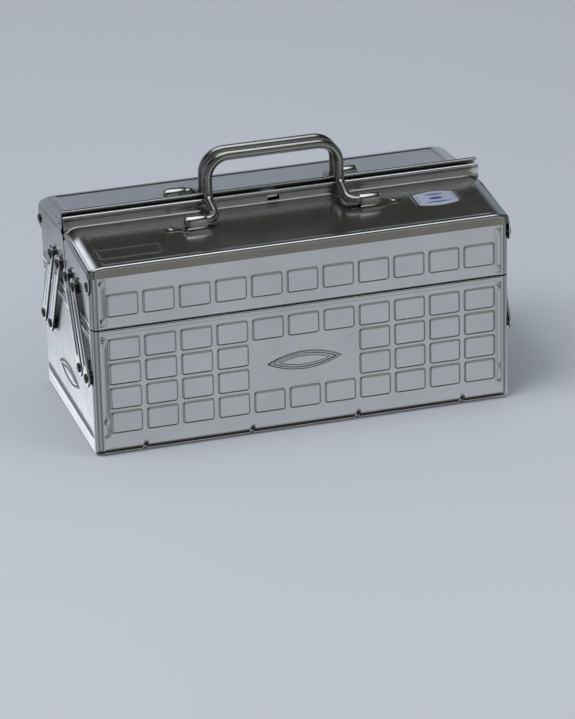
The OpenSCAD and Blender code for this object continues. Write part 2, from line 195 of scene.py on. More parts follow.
def arc(centre, r, start, end, steps):
    """Points and outward normals on an arc, angles in degrees."""
    angles = np.radians(np.linspace(start, end, steps + 1))
    normals = np.stack([np.cos(angles), np.sin(angles)], 1)
    return np.array(centre) + r * normals, normals


def ease(t):
    """Smooth step from 0 to 1."""
    t = np.clip(t, 0, 1)
    return 0.5 - 0.5 * np.cos(np.pi * t)


def rounded(u, v, half_u, half_v, r):
    """Signed distance to a rounded rectangle centred on the origin."""
    du, dv = np.abs(u) - half_u + r, np.abs(v) - half_v + r
    return np.hypot(np.maximum(du, 0), np.maximum(dv, 0)) + np.minimum(np.maximum(du, dv), 0) - r


def lens(u, v, w, h):
    """Signed distance to a lens of that width and height."""
    r = (w * w / 4 + h * h / 4) / h
    return np.maximum(np.hypot(u, v - r + h / 2), np.hypot(u, v + r - h / 2)) - r


def badge_relief(u, v):
    """A blank badge: a raised rim with a low pillow inside it."""
    d = lens(u, v, BADGE_W, BADGE_H)
    rim = ease(-d / 0.9) * ease((d + 2.7) / 0.9)
    pillow = ease((-d - 3.4) / 1.6)
    return 0.65 * rim + 0.45 * pillow


def lathe(profile, centre, sides=28):
    """Solid of revolution about the X direction from (x, radius) pairs; both ends are closed."""
    verts, faces = [], []
    rings = []
    for x, r in profile:
        if r < 1e-6:
            rings.append([len(verts)])
            verts.append((x, centre[0], centre[1]))
            continue
        ring = []
        for k in range(sides):
            a = 2 * math.pi * k / sides
            ring.append(len(verts))
            verts.append((x, centre[0] + r * math.cos(a), centre[1] + r * math.sin(a)))
        rings.append(ring)
    for low, high in zip(rings, rings[1:]):
        for k in range(sides):
            n = (k + 1) % sides
            if len(low) == 1:
                faces.append((low[0], high[n], high[k]))
            elif len(high) == 1:
                faces.append((low[k], low[n], high[0]))
            else:
                faces.append((low[k], low[n], high[n], high[k]))
    return np.array(verts), faces


def dome(x0, x1, r, steps=5):
    """Profile of a rounded head from the edge at x0 to the crown at x1."""
    return [(x0 + (x1 - x0) * math.sin(a), r * math.cos(a))
            for a in (math.pi / 2 * k / steps for k in range(steps + 1))]


def rings_to_part(rings):
    """Skins a stack of equal rings of points and closes its two ends."""
    verts = np.concatenate(rings)
    n = len(rings[0])
    faces = []
    for level in range(len(rings) - 1):
        for k in range(n):
            a, b = level * n + k, level * n + (k + 1) % n
            faces.append((a, b, b + n, a + n))
    faces.append(tuple(reversed(range(n))))
    faces.append(tuple(range((len(rings) - 1) * n, len(rings) * n)))
    return verts, faces


def stadium(length, half_w, steps=14):
    """Outline of a slot along the second axis, from end centre 0 to end centre length."""
    top = np.radians(np.linspace(0, 180, steps + 1))
    upper = np.stack([half_w * np.cos(top), length + half_w * np.sin(top)], 1)
    lower = np.stack([-half_w * np.cos(top), -half_w * np.sin(top)], 1)
    return np.concatenate([upper, lower])


# ---- Materials ----

def nodes_of(material):
    material.use_nodes = True
    tree = material.node_tree
    return tree, tree.nodes["Principled BSDF"]


def noise(tree, scale, detail=3.0, roughness=0.5, stretch=(1, 1, 1)):
    """Noise in object space, in features per metre, stretched per axis."""
    place = tree.nodes.new("ShaderNodeTexCoord")
    mapping = tree.nodes.new("ShaderNodeMapping")
    mapping.inputs["Scale"].default_value = stretch
    texture = tree.nodes.new("ShaderNodeTexNoise")
    texture.inputs["Scale"].default_value = scale
    texture.inputs["Detail"].default_value = detail
    texture.inputs["Roughness"].default_value = roughness
    tree.links.new(place.outputs["Object"], mapping.inputs["Vector"])
    tree.links.new(mapping.outputs["Vector"], texture.inputs["Vector"])
    return texture.outputs["Fac"]


def ramp(tree, fac, stops):
    """Colour ramp with (position, colour) stops."""
    node = tree.nodes.new("ShaderNodeValToRGB")
    elements = node.color_ramp.elements
    while len(elements) < len(stops):
        elements.new(0.5)
    for element, (position, colour) in zip(elements, stops):
        element.position = position
        element.color = (*colour, 1) if len(colour) == 3 else colour
    tree.links.new(fac, node.inputs["Fac"])
    return node.outputs["Color"]


def remap(tree, fac, low, high, out_low, out_high):
    node = tree.nodes.new("ShaderNodeMapRange")
    for socket, value in zip(("From Min", "From Max", "To Min", "To Max"), (low, high, out_low, out_high)):
        node.inputs[socket].default_value = value
    tree.links.new(fac, node.inputs["Value"])
    return node.outputs["Result"]


def metal(name, dark, light, rough, wave=0.25, wave_scale=28, scratch=0.05, metallic=1.0, coat=0.0):
    """Metal with slow tone changes, smudges in its gloss, a faint waviness and fine scratches."""
    material = bpy.data.materials.new(name)
    tree, shader = nodes_of(material)
    shader.inputs["Metallic"].default_value = metallic
    shader.inputs["Coat Weight"].default_value = coat
    shader.inputs["Coat Roughness"].default_value = 0.08
    tone = ramp(tree, noise(tree, 22, 4), [(0.35, dark), (0.65, light)])
    tree.links.new(tone, shader.inputs["Base Color"])
    smudge = noise(tree, 45, 5, 0.62)
    tree.links.new(remap(tree, smudge, 0.35, 0.7, rough[0], rough[1]), shader.inputs["Roughness"])
    slow = tree.nodes.new("ShaderNodeBump")
    slow.inputs["Strength"].default_value = wave
    slow.inputs["Distance"].default_value = 0.0004
    tree.links.new(noise(tree, wave_scale, 2), slow.inputs["Height"])
    fine = tree.nodes.new("ShaderNodeBump")
    fine.inputs["Strength"].default_value = scratch
    fine.inputs["Distance"].default_value = 0.0001
    tree.links.new(noise(tree, 900, 2, 0.5, (0.08, 1, 1)), fine.inputs["Height"])
    tree.links.new(slow.outputs["Normal"], fine.inputs["Normal"])
    tree.links.new(fine.outputs["Normal"], shader.inputs["Normal"])
    return material


SILVER = metal("silver_sheet", (0.56, 0.575, 0.585), (0.61, 0.62, 0.63), (0.17, 0.26),
               wave=0.08, scratch=0.02)
LID_SILVER = metal("lid_sheet", (0.55, 0.555, 0.55), (0.60, 0.605, 0.60), (0.16, 0.22),
                   wave=0.04, scratch=0.006)
PLATED = metal("plated_arm", (0.62, 0.64, 0.66), (0.72, 0.74, 0.75), (0.18, 0.28), wave=0.06, scratch=0.03)
RIVET = metal("rivet_steel", (0.10, 0.10, 0.095), (0.17, 0.17, 0.16), (0.28, 0.42))
NICKEL = metal("bracket_nickel", (0.50, 0.50, 0.48), (0.58, 0.58, 0.56), (0.12, 0.2), wave=0.08, scratch=0.02)
ROD = metal("handle_rod", (0.36, 0.36, 0.335), (0.42, 0.42, 0.395), (0.2, 0.3), wave=0.05, scratch=0.015)


# ---- Body ----

def cell_field(x, z, low_z, cell_h, rows, is_cell):
    """Height of the pressed cells at x, z."""
    height = np.zeros(np.broadcast(x, z).shape)
    for row in range(rows):
        for column in range(-5, 6):
            if is_cell(column, row):
                d = rounded(x - column * CELL_PITCH_X, z - low_z - cell_h / 2 - row * CELL_PITCH_Z,
                            CELL_W / 2, cell_h / 2, CELL_R)
                height = np.maximum(height, ease(-d / CELL_EDGE))
    return height


def seam_slope(x, z, low_z, high_z, depth):
    """The long sheet eases down towards its seams, where the ends' flanges lie over it."""
    inward = ease((SEAM_X - np.abs(x) - 0.5) / SLOPE_W)
    return -depth * (1 - inward) * ease((z - low_z) / 3) * ease((high_z - z) / 3)


def dimple(x, z, at_x, at_z, r=2.7, height=0.7):
    """A spot weld's little bump beside each seam."""
    d = np.hypot(np.abs(x) - at_x, z - at_z) / r
    return height * ease(1 - d)


def cell_x_marks():
    marks = []
    for column in range(-5, 6):
        x = column * CELL_PITCH_X
        marks += edge_marks(x - CELL_W / 2, 1) + edge_marks(x + CELL_W / 2, -1)
    for side in (-1, 1):
        marks += [side * (SEAM_X - d) for d in (0.3, 0.6, 1.2, 2.0, 2.8, 3.6, 4.4, 5.2, 6.0, 6.8, 7.6)]
    return marks


def cell_z_marks(low_z, cell_h, rows):
    marks = []
    for row in range(rows):
        z = low_z + row * CELL_PITCH_Z
        marks += edge_marks(z, 1) + edge_marks(z + cell_h, -1)
    return marks


def body_relief(x, z):
    """Pressed shapes on the body's front and back."""
    def is_cell(column, row):
        return row in (0, ROWS - 1) or abs(column) > 1

    top_z = CELL_LOW_Z + (ROWS - 1) * CELL_PITCH_Z + CELL_H
    lift = CELL_RISE * cell_field(x, z, CELL_LOW_Z, CELL_H, ROWS, is_cell)
    lift = lift + seam_slope(x, z, CELL_LOW_Z - 3, top_z + 3, 0.8)
    lift = lift + badge_relief(x, z - BADGE_Z)
    lift = lift + dimple(x, z, SEAM_X - 2.6, 100.5) + dimple(x, z, SEAM_X - 2.6, 30)
    lift = lift - 0.16 * ease(1 - np.abs(z - 106.4) / 0.8)
    return lift


def section(parts):
    """Joins runs of (points, normals) in the Y-Z plane into one path without repeated points."""
    points = np.concatenate([p for p, _ in parts])
    normals = np.concatenate([n for _, n in parts])
    keep = np.r_[True, np.linalg.norm(np.diff(points, axis=0), axis=1) > 1e-6]
    return points[keep], normals[keep]


def straight(axis, fixed, values, normal):
    """A straight run: axis 0 varies Y at height fixed, axis 1 varies Z at depth fixed."""
    points = np.empty((len(values), 2))
    points[:, axis] = values
    points[:, 1 - axis] = fixed
    return points, np.tile(np.array(normal, float), (len(values), 1))


def swept(points, normals, xs, lift=None):
    """Patch made by sweeping a Y-Z section along X, moved out along its normals by lift."""
    grid = np.empty((len(points), len(xs), 3))
    grid[:, :, 0] = xs[None, :]
    grid[:, :, 1:] = points[:, None, :]
    out = np.zeros_like(grid)
    out[:, :, 1:] = normals[:, None, :]
    if lift is not None:
        grid = grid + out * lift(grid, out)[:, :, None]
    return grid, out


def hem(y, z, side, drop=5.0, r=0.95):
    """Turned-over edge at the top of a wall whose outer face is at y; side is the inward direction."""
    turn = arc((0, 0), r, 180, 0, 6)
    over = np.stack([y + side * (r + turn[0][:, 0]), z - r + turn[0][:, 1]], 1)
    over_normals = turn[1] * [side, 1]
    down = straight(1, y + side * 2 * r, np.linspace(z - r, z - drop, 3), (side, 0))
    return section([(over, over_normals), down])


def reverse(run):
    return run[0][::-1], run[1][::-1]


BEAD_XS = [k * CELL_PITCH_X for k in (-4.5, -1.5, 1.5, 4.5)]
BEAD_R, BEAD_DROP = 5.0, 3.0


def groove_z(x):
    """Height of the floor's pressed grooves above the ground."""
    z = np.zeros_like(x)
    for bead_x in BEAD_XS:
        z = np.maximum(z, np.sqrt(np.maximum(BEAD_R ** 2 - (x - bead_x) ** 2, 0)) - BEAD_DROP)
    return z


def make_body_wrap():
    z_marks = cell_z_marks(CELL_LOW_Z, CELL_H, ROWS) + [105.2, 105.7, 106.2, 106.7, 107.2]
    z_marks += [BADGE_Z + d for d in np.linspace(-8.5, 8.5, 35)]
    z_marks += [w + d for w in (30, 100.5) for d in (-2.5, -1.2, 0, 1.2, 2.5)]
    z_marks += [CELL_LOW_Z - d for d in (0.8, 1.7, 2.6)] + [102.5, 103.3, 104.1]
    zs = stations(EDGE_R, RIM_Z - 0.95, 4.5, z_marks)
    xs = stations(-SEAM_X, SEAM_X, 3.2, cell_x_marks() + list(np.arange(-32.5, 32.6, 1.0))
                  + [b + d for b in BEAD_XS for d in (-4.4, -4, -3.4, -2.4, -1.2, 0, 1.2, 2.4, 3.4, 4, 4.4)])
    floor_ys = np.linspace(HALF_D - EDGE_R, EDGE_R - HALF_D, 9)
    points, normals = section([
        reverse(hem(HALF_D, RIM_Z, -1)), straight(1, HALF_D, zs[::-1], (1, 0)),
        arc((HALF_D - EDGE_R, EDGE_R), EDGE_R, 0, -90, 8),
        straight(0, 0, floor_ys, (0, -1)),
        arc((EDGE_R - HALF_D, EDGE_R), EDGE_R, 270, 180, 8),
        straight(1, -HALF_D, zs, (-1, 0)), hem(-HALF_D, RIM_Z, 1)])

    def lift(grid, out):
        outside = np.abs(grid[:, :, 1]) > HALF_D - 0.01
        wall = (np.abs(out[:, :, 1]) > 0.999) & outside
        near = np.min(np.abs(grid[:, :, 0, None] - np.array(BEAD_XS)), axis=2)
        notch = 1.5 * ease((2.6 - near) / 2.2) * ease((9 - grid[:, :, 2]) / 4)
        notch = notch * (np.abs(grid[:, :, 1]) > HALF_D - EDGE_R)
        return np.where(wall, body_relief(grid[:, :, 0], grid[:, :, 2]), 0) - notch

    grid, out = swept(points, normals, xs, lift)
    low = out[:, :, 2] < -0.02
    grid[:, :, 2] = np.where(low, np.maximum(grid[:, :, 2], groove_z(grid[:, :, 0])), grid[:, :, 2])
    build("body_wrap_sheet", *sheet([(grid, out)]), SILVER, "base", ["body_wrap"], "painted_sheet")


# ---- End walls ----

def end_plan(front_only, ys):
    """Path round a right end in plan: seam, front corner, wall, and rear corner or inner corner."""
    runs = [arc((SEAM_X - 0.2, CORNER_R - HALF_D), CORNER_R, -90, 0, 10)]
    runs.append(straight(1, HALF_L, ys, (1, 0)))
    if front_only:
        inner_r = 1.5
        runs.append(arc((HALF_L - inner_r, -TRAY_MID - inner_r), inner_r, 0, 90, 5))
        runs.append(straight(0, -TRAY_MID, np.array([HALF_L - inner_r, SEAM_X]), (0, 1)))
    else:
        runs.append(arc((SEAM_X - 0.2, HALF_D - CORNER_R), CORNER_R, 0, 90, 10))
    return section(runs)


def end_patch(plan, zs, top_z, base_z, base_r, relief):
    """Wall of an end from its top edge down, round its bottom edge and in under the floor.

    top_z and base_r are per plan point; zs are the levels of the wall's upright part."""
    points, normals = plan
    rows, outs = [], []
    up = np.array([0, 0, 1.0])
    flat = np.concatenate([normals, np.zeros((len(points), 1))], 1)
    for share in (0, 0.5):
        z = top_z + (zs[0] - top_z) * share
        rows.append(np.concatenate([points, z[:, None]], 1))
        outs.append(flat)
    for z in zs:
        rows.append(np.concatenate([points, np.full((len(points), 1), z)], 1))
        outs.append(flat)
    for a in np.radians(np.linspace(0, 90, 7)):
        inset = base_r * (1 - math.cos(a))
        z = base_z + base_r * (1 - math.sin(a))
        rows.append(np.concatenate([points - normals * inset[:, None], z[:, None]], 1))
        outs.append(flat * math.cos(a) - up * math.sin(a))
    low = HALF_D - CORNER_R + 0.1
    high = low if points[:, 1].max() > 0 else -TRAY_MID - 1.7
    target = np.stack([np.full(len(points), SEAM_X), np.clip(points[:, 1], -low, high),
                       np.full(len(points), base_z)], 1)
    rows.append(target)
    outs.append(np.tile(-up, (len(points), 1)))
    grid, out = np.array(rows), np.array(outs)
    lift = relief(grid) * (np.abs(out[:, :, 2]) < 0.01)
    return grid + out * lift[:, :, None], out


def bead_line(z, at, half_w, height):
    return height * ease((half_w - np.abs(z - at)) / half_w * 1.4)


END_BEAD_LOW_Z, END_BEAD_HIGH_Z = 14.3, 104.6


def body_end_relief(grid):
    """Badge and two long beads pressed in an end wall."""
    y, z = grid[:, :, 1], grid[:, :, 2]
    on_wall = ease((HALF_D - CORNER_R - 2 - np.abs(y)) / 4)
    lift = badge_relief(y, z - END_BADGE_Z)
    lift = lift + bead_line(z, END_BEAD_LOW_Z, 2.4, 0.7) * on_wall
    lift = lift + bead_line(z, END_BEAD_HIGH_Z, 1.8, 0.5) * on_wall
    return lift


def lap_patch(y, z_low, z_high):
    """Tongue of an end that lies inside the long sheet beside its seam."""
    xs = np.array([SEAM_X - 10, SEAM_X - 0.05])
    zs = np.linspace(z_low, z_high, 5)
    points, normals = straight(1, y, zs, (math.copysign(1, y), 0))
    return swept(points, normals, xs)


def make_body_ends():
    ys = stations(CORNER_R - HALF_D, HALF_D - CORNER_R, 5.0, np.arange(-33, 33.1, 1.5))
    plan = end_plan(False, ys)
    count = len(plan[0])
    top = np.full(count, RIM_Z)
    corner = ease((np.abs(plan[0][:, 1]) - (HALF_D - CORNER_R)) / CORNER_R)
    base_r = 3.0 + 3.8 * corner
    marks = [END_BADGE_Z + d for d in np.arange(-9, 9.1, 0.75)]
    marks += [END_BEAD_LOW_Z + d for d in (-2.4, -1.6, -0.8, 0, 0.8, 1.6, 2.4)]
    marks += [END_BEAD_HIGH_Z + d for d in (-1.8, -0.9, 0, 0.9, 1.8)]
    zs = stations(7.0, RIM_Z - 2, 6.0, marks)[::-1]
    shell = sheet([end_patch(plan, zs, top, 0.0, base_r, body_end_relief)])
    laps = [sheet([lap_patch(side * (HALF_D - LAP_IN), EDGE_R, RIM_Z - 6.5)]) for side in (-1, 1)]
    part = join(shell, *laps)
    build("body_end_right_sheet", *part, SILVER, "base", ["body_end_right"], "painted_sheet")
    build("body_end_left_sheet", *flipped(part), SILVER, "base", ["body_end_left"], "painted_sheet")


# ---- Trays ----

DIMPLE_ZS = (117.3, 149.3)


def tray_relief(x, z):
    """Pressed shapes on a tray's outer wall."""
    lift = CELL_RISE * cell_field(x, z, TRAY_CELL_Z, TRAY_CELL_H, 1, lambda column, row: True)
    lift = lift + seam_slope(x, z, 111.6, 158.0, 0.8)
    low, high = (dimple(x, z, SEAM_X - 2.6, at, height=0.6) for at in DIMPLE_ZS)
    return lift + low + high


def make_tray_wrap(side):
    edge_r = 2.0
    marks = cell_z_marks(TRAY_CELL_Z, TRAY_CELL_H, 1)
    marks += [at + d for at in DIMPLE_ZS for d in (-2.5, -1.2, 0, 1.2, 2.5)]
    zs = stations(TRAY_Z + edge_r, TRAY_TOP - 0.95, 3.0, marks)
    inner_zs = np.linspace(TRAY_TOP - 0.95, TRAY_Z + edge_r, 6)
    xs = stations(-SEAM_X, SEAM_X, 3.2, cell_x_marks())
    y_in, y_out = -TRAY_MID, -HALF_D
    floor_ys = np.linspace(y_in - edge_r, y_out + edge_r, 5)
    points, normals = section([
        reverse(hem(y_in, TRAY_TOP, -1)), straight(1, y_in, inner_zs, (1, 0)),
        arc((y_in - edge_r, TRAY_Z + edge_r), edge_r, 0, -90, 4),
        straight(0, TRAY_Z, floor_ys, (0, -1)),
        arc((y_out + edge_r, TRAY_Z + edge_r), edge_r, 270, 180, 4),
        straight(1, y_out, zs, (-1, 0)), hem(y_out, TRAY_TOP, 1)])

    def lift(grid, out):
        wall = (out[:, :, 1] < -0.999) & (grid[:, :, 1] < y_out + 0.01)
        return np.where(wall, tray_relief(grid[:, :, 0], grid[:, :, 2]), 0)

    patch = swept(points, normals, xs, lift)
    build(f"{side}_tray_sheet", *sheet([patch]), SILVER, f"{side}_tray", [f"{side}_tray_wrap"],
          "painted_sheet", mirrored=side == "rear")


def make_tray_ends(side):
    ys = stations(CORNER_R - HALF_D, -TRAY_MID - 1.5, 4.0)
    plan = end_plan(True, ys)
    y = plan[0][:, 1]
    top = np.interp(y, [-HALF_D, -64, -12, -TRAY_MID], [TRAY_TOP, TRAY_TOP + 1.5, TRAY_TOP + 6, TRAY_TOP - 5])
    base_r = np.full(len(y), 1.4)
    zs = stations(TRAY_Z + 2, 153, 6.0, [114 + d for d in (-1.8, -0.9, 0, 0.9, 1.8)])[::-1]

    def relief(grid):
        on_wall = ease((HALF_D - CORNER_R - 2 + grid[:, :, 1]) / 4) * ease((-3 - grid[:, :, 1]) / 3)
        return bead_line(grid[:, :, 2], 114, 1.8, 0.45) * on_wall * (grid[:, :, 0] > HALF_L - 0.5)

    shell = sheet([end_patch(plan, zs, top, TRAY_Z, base_r, relief)])
    lap = sheet([lap_patch(LAP_IN - HALF_D, TRAY_Z + 3, TRAY_TOP - 6.5)])
    part = join(shell, lap)
    for end, shape in (("right", part), ("left", flipped(part))):
        build(f"{side}_tray_end_{end}_sheet", *shape, SILVER, f"{side}_tray", [f"{side}_tray_end_{end}"],
              "painted_sheet", mirrored=side == "rear")


def make_dividers(side):
    low, high = node_box("front_tray_dividers")
    tab, bend = 9.0, 1.2
    y0, y1 = low[1] + 0.1, high[1] - 0.1
    path, normals = section([
        straight(0, y0, np.array([tab, bend]), (0, -1)),
        arc((bend, y0 + bend), bend, 270, 180, 4),
        straight(1, 0, np.linspace(y0 + bend, y1 - bend, 8), (-1, 0)),
        arc((bend, y1 - bend), bend, 180, 90, 4),
        straight(0, y1, np.array([bend, tab]), (0, 1))])
    zs = np.array([low[2], low[2] + 8, high[2] - 0.6, high[2]])
    parts = []
    for x in (low[0], high[0] - tab):
        grid = np.empty((len(path), len(zs), 3))
        grid[:, :, :2] = path[:, None, :] + [x, 0]
        grid[:, :, 2] = zs[None, :]
        out = np.zeros_like(grid)
        out[:, :, :2] = normals[:, None, :]
        parts.append(sheet([(grid, out)]))
    build(f"{side}_dividers_sheet", *join(*parts), SILVER, f"{side}_tray", [f"{side}_tray_dividers"],
          "painted_sheet", mirrored=side == "rear")


# ---- Lids ----

LID_R = 6.0
FOLD_R = 3.6
DROOP_X, DROOP = 162.5, 2.1
EAR_YS = (-79.3, -76, -74, -10, -6, 0)
EAR_ZS = (139.6, 139, 139, 163.5, 164.6, 165.0)
RIDGE_FOLD = 1.2
LABEL_AT, LABEL_W, LABEL_H, BAR_X = (127.8, -38.3), 33.5, 25.5, 18.6
FRAME_AT, FRAME_W, FRAME_D = (-136.5, -61.0), 53.0, 18.5


def lid_z(y):
    return LID_EDGE_Z + (y + LIP_Y) * LID_SLOPE


def lid_relief(x, y, side):
    """The panel lies a little below its border, with low pressed frames on it."""
    back = -14.0
    centre = (back - 79.5) / 2
    d = rounded(x, y - centre, 163.5, (back + 79.5) / 2, 3.0)
    lift = -0.4 * ease(-d / 3.0)
    if side == "front":
        d = np.abs(rounded(x - FRAME_AT[0], y - FRAME_AT[1], FRAME_W / 2, FRAME_D / 2, 1.5) + 1.2)
        lift = lift + 0.32 * ease((1.5 - d) / 1.3)
        u, v = np.abs(x - LABEL_AT[0]) - BAR_X, y - LABEL_AT[1]
        lift = lift + 0.4 * ease((1.3 - np.hypot(u, np.maximum(np.abs(v) - 7.5, 0))) / 1.1)
    return lift


def droop(x):
    """How far the panel has curved down at its ends."""
    return DROOP * (np.maximum(np.abs(x) - DROOP_X, 0) / (LID_HALF_L - FOLD_R - DROOP_X)) ** 2


def ear_tab(column, end):
    """The part of a lid's ear in front of its flat side, joined to it along a column of points."""
    z = column[:, 2]
    front = np.interp(z, [139, 141.5, 145, 155], [-79.9, -82.0, -82.8, -82.2])
    share = np.linspace(0, 1, 4)[None, :]
    y = front[:, None] + (column[:, 1] - front)[:, None] * share
    grid = np.stack([np.full(y.shape, column[0, 0]), y, np.repeat(z[:, None], 4, axis=1)], 2)
    out = np.zeros_like(grid)
    out[:, :, 0] = end
    if end < 0:
        grid, out = grid[:, ::-1], out[:, ::-1]
    return grid, out


def make_lid(side, ridge_y, ridge_path, hole_rows):
    """One lid: panel, wrapped skirt and ridge strip, welded into one sheet."""
    x0, y0 = LID_HALF_L - LID_R, LID_R - LIP_Y
    fold_y = -ridge_y - RIDGE_FOLD
    x_marks = [s * (163.5 - d) for s in (-1, 1) for d in (-5, -3.5, -2, -1, 0, 0.6, 1.2, 1.8, 2.4, 3)]
    y_marks = [-79.2, -78.7, -78.1, -77.5, -77, -76, -16.6, -16, -15.4, -14.8, -14.2, -13.5]
    if side == "front":
        x_marks += [FRAME_AT[0] + s * FRAME_W / 2 + d for s in (-1, 1) for d in np.linspace(-3.2, 3.2, 9)]
        y_marks += [FRAME_AT[1] + s * FRAME_D / 2 + d for s in (-1, 1) for d in np.linspace(-3.2, 3.2, 9)]
        x_marks += [LABEL_AT[0] + s * BAR_X + d for s in (-1, 1) for d in np.linspace(-1.6, 1.6, 7)]
        y_marks += [LABEL_AT[1] + s * 8 + d for s in (-1, 1) for d in np.linspace(-1.6, 1.6, 7)]
    xs = stations(-x0, x0, 6.0, x_marks + [-5.0, 5.0])
    ys = stations(y0, fold_y, 5.0, y_marks)
    tilt = np.array([0, -LID_SLOPE, 1]) / math.hypot(1, LID_SLOPE)

    grid = np.stack(np.meshgrid(ys, xs, indexing="ij")[::-1] + [np.zeros((len(ys), len(xs)))], 2)
    across, along = grid[:, :, 0], grid[:, :, 1]
    grid[:, :, 2] = lid_z(along) + lid_relief(across, along, side) - droop(across)
    panel = (grid, np.broadcast_to(tilt, grid.shape).copy())

    # Skirt: base points on the panel's border with their outward directions
    corner = np.radians(np.linspace(0, 90, 9))
    runs = [(np.column_stack([np.full(len(ys), -x0), ys[::-1]]), np.full(len(ys), np.pi), True),
            (np.tile([-x0, y0], (9, 1)), np.pi + corner, False),
            (np.column_stack([xs, np.full(len(xs), y0)])[1:-1], np.full(len(xs) - 2, 1.5 * np.pi), False),
            (np.tile([x0, y0], (9, 1)), 1.5 * np.pi + corner, False),
            (np.column_stack([np.full(len(ys), x0), ys]), np.full(len(ys), 2 * np.pi), True)]
    base = np.concatenate([run[0] for run in runs])
    bearing = np.concatenate([run[1] for run in runs])
    ear = np.concatenate([np.full(len(run[0]), run[2]) for run in runs])
    out = np.stack([np.cos(bearing), np.sin(bearing)], 1)
    flare = 1.3 * np.clip(-out[:, 1], 0, 1) ** 2
    low_z = np.where(ear, np.interp(base[:, 1], EAR_YS, EAR_ZS), LIP_Z)
    rows, norms = [], []
    edge = LID_R - FOLD_R
    for share in (0, 0.5, 1):
        p = base + out * edge * share
        rows.append(np.column_stack([p, lid_z(p[:, 1])]))
        norms.append(np.tile(tilt, (len(base), 1)))
    at_edge = base + out * edge
    centre_z = lid_z(at_edge[:, 1]) - FOLD_R
    lean = np.arctan2(flare, centre_z - low_z)
    pull = FOLD_R - flare
    for k in range(1, 7):
        a = (math.pi / 2 - lean) * k / 6
        p = at_edge + out * (pull * np.sin(a))[:, None]
        rows.append(np.column_stack([p, centre_z + FOLD_R * np.cos(a)]))
        norms.append(np.column_stack([out * np.sin(a)[:, None], np.cos(a)]))
    for row in rows:
        row[:, 2] -= np.minimum(droop(row[:, 0]), DROOP)
    top_row = rows[-1]
    lip = np.maximum(low_z, LIP_Z)
    face = np.column_stack([out * np.cos(lean)[:, None], np.sin(lean)])
    for share in (0.5, 1):
        p = top_row[:, :2] + out * (flare * share)[:, None]
        rows.append(np.column_stack([p, top_row[:, 2] + (lip - top_row[:, 2]) * share]))
        norms.append(face)
    for share in (0.33, 0.66, 1):
        rows.append(np.column_stack([rows[-1][:, :2], lip + (low_z - lip) * share]))
        norms.append(face)
    rows, norms = np.array(rows)[::-1], np.array(norms)[::-1]
    joins = np.linalg.norm(base[1:] - base[:-1], axis=1) + np.abs(np.diff(bearing)) < 1e-9
    skirt = (rows, norms, np.tile(~joins, (len(rows) - 1, 1)))
    tabs = [ear_tab(rows[:4, np.argmax(ear & (base[:, 0] * end > 0) & (base[:, 1] <= y0))], end)
            for end in (-1, 1)]

    flat_xs = [x0 + edge * share for share in (0.5, 1)]
    wide = np.array(sorted([*xs, *flat_xs, *(-x for x in flat_xs), -LID_HALF_L + 0.6, LID_HALF_L - 0.6]))
    points, normals = ridge_path(fold_y, lid_z(fold_y))
    strip = swept(points, normals, wide)
    fade = np.clip(1 - np.arange(len(points)) / 5, 0, 1)
    strip[0][:, :, 2] -= fade[:, None] * np.minimum(droop(wide), DROOP)[None, :]
    middle_x = (wide[1:] + wide[:-1]) / 2
    middle_z = (points[1:, 1] + points[:-1, 1]) / 2
    hole_high = (middle_z > hole_rows[0]) & (middle_z < hole_rows[1])
    in_hole = (np.abs(middle_x)[None, :] < 5.0) & hole_high[:, None]
    face_rows = np.abs(normals[1:, 0]) > 0.99
    keep = ~(in_hole & face_rows[:, None])
    part = sheet([panel, skirt, *tabs, (*strip, keep)])
    return build(f"{side}_lid_sheet", *part, LID_SILVER, f"{side}_lid",
                 [f"{side}_lid", f"{side}_ridge_strip"], "lid_sheet", mirrored=side == "rear")


HOLE_Z = (169.2, 176.2)


def ridge_foot(fold_y, fold_z):
    """Bend from the lid up into its ridge strip, with normals that face out and up."""
    points, _ = arc((fold_y, fold_z + RIDGE_FOLD), RIDGE_FOLD, -90, 0, 5)
    return points, np.tile([[-0.3, 0.95]], (6, 1))


def front_ridge(fold_y, fold_z):
    """Strip with a rolled bead along its top, seen from outside and below to top."""
    face = fold_y + RIDGE_FOLD
    r, bead_y, bead_z = 1.7, face + 0.9, 176.65
    return section([
        ridge_foot(fold_y, fold_z),
        straight(1, face, np.array([HOLE_Z[0], 171, 173, 174.4]), (-1, 0)),
        arc((bead_y, bead_z), r, 218, -80, 16)])


def rear_ridge(fold_y, fold_z):
    """Plain strip whose top turns over towards the other lid."""
    face = fold_y + RIDGE_FOLD
    r = 0.9
    top = 181.8
    return section([
        ridge_foot(fold_y, fold_z),
        straight(1, face, np.array([HOLE_Z[0], 171, 173, HOLE_Z[1], 178, top - r]), (-1, 0)),
        arc((face + r, top - r), r, 180, 90, 5),
        straight(0, top, np.array([face + 1.5, face + 3.1]), (0, 1)),
        arc((face + 3.1, top - 0.8), 0.8, 90, -90, 6),
        straight(0, top - 1.6, np.array([face + 3.0, face + 1.7]), (0, -1))])


# ---- Brackets, label ----

def on_lid(part_verts):
    """Moves points from the bracket's frame (tail axis at the origin, z square to the lid) into place."""
    turn = Matrix.Rotation(math.atan(LID_SLOPE), 3, "X")
    verts = np.array([turn @ Vector(v) for v in part_verts])
    return verts + [0, TAIL[0], TAIL[1]]


def bracket_floor():
    return (lid_z(TAIL[0]) - 0.5 - TAIL[1]) * math.cos(math.atan(LID_SLOPE))


